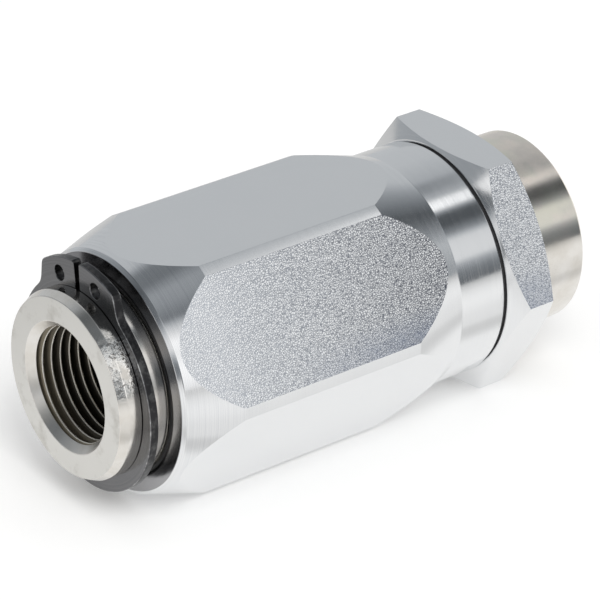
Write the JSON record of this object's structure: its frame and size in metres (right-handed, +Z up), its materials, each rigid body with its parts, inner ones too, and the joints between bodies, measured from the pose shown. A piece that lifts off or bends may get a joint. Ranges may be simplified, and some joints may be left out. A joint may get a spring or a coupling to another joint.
{
  "type": "non-return valve",
  "caption": "In-line throttle and non-return valve: ported tube, hexagon adjusting sleeve with lock nut and stop ring, spring-loaded poppet inside.",
  "frame": {"origin": "on the valve's axis, half way between the nose face and the tail face", "axes": "+X along the axis from the nose to the tail, +Z up and square to the top flat of the hexagon sleeve, +Y to the left seen from the nose looking along +X"},
  "size_m": [0.0726, 0.037, 0.032],
  "materials": {
    "zinc_plated_steel": "bright blue-white zinc plate, turning lines on cones and chamfers, fine pitted grain on some flats",
    "housing_steel": "warm dull zinc plate on turned steel",
    "phosphated_steel": "dark phosphated spring steel, fine lines",
    "spring_steel": "drawn wire, satin",
    "machined_steel": "turned and hardened, satin",
    "black_rubber": "matt moulded rubber",
    "white_plastic": "turned white plastic"
  },
  "bodies": {
    "housing": {"housing_tube": "housing_steel", "stop_ring": "phosphated_steel", "spring_plate": "machined_steel", "snap_ring": "spring_steel", "valve_spring": "spring_steel"},
    "sleeve_seals": {"wiper_ring": "black_rubber", "front_o_ring": "black_rubber", "front_backup_ring": "white_plastic", "rear_o_ring": "black_rubber", "rear_backup_ring": "white_plastic"},
    "sleeve": {"adjusting_sleeve": "zinc_plated_steel"},
    "nut_seal_ring": {"nut_seal": "black_rubber"},
    "nut": {"lock_nut": "zinc_plated_steel"},
    "poppet": {"poppet": "machined_steel"}
  },
  "joints": [
    {"name": "sleeve_travel", "type": "slide", "parent": "housing", "child": "sleeve_seals", "axis": [1, 0, 0], "range_m": [-0.00225, 0]},
    {"name": "sleeve_turn", "type": "hinge", "parent": "sleeve_seals", "child": "sleeve", "pos_m": [0, 0, 0], "axis": [1, 0, 0], "range_deg": [-540, 0]},
    {"name": "nut_travel", "type": "slide", "parent": "sleeve", "child": "nut_seal_ring", "axis": [1, 0, 0], "range_m": [0, 0.003]},
    {"name": "nut_turn", "type": "hinge", "parent": "nut_seal_ring", "child": "nut", "pos_m": [0.0241, 0, 0], "axis": [1, 0, 0], "range_deg": [0, 720]},
    {"name": "poppet_lift", "type": "slide", "parent": "housing", "child": "poppet", "axis": [1, 0, 0], "range_m": [0, 0.003], "stiffness_N_per_m": 600, "springref_m": -0.005, "deforming": ["valve_spring"]}
  ],
  "couplings": [
    {"joint": "sleeve_travel", "follows": "sleeve_turn", "m_per_rad": 0.00023873},
    {"joint": "nut_travel", "follows": "nut_turn", "m_per_rad": 0.00023873}
  ]
}
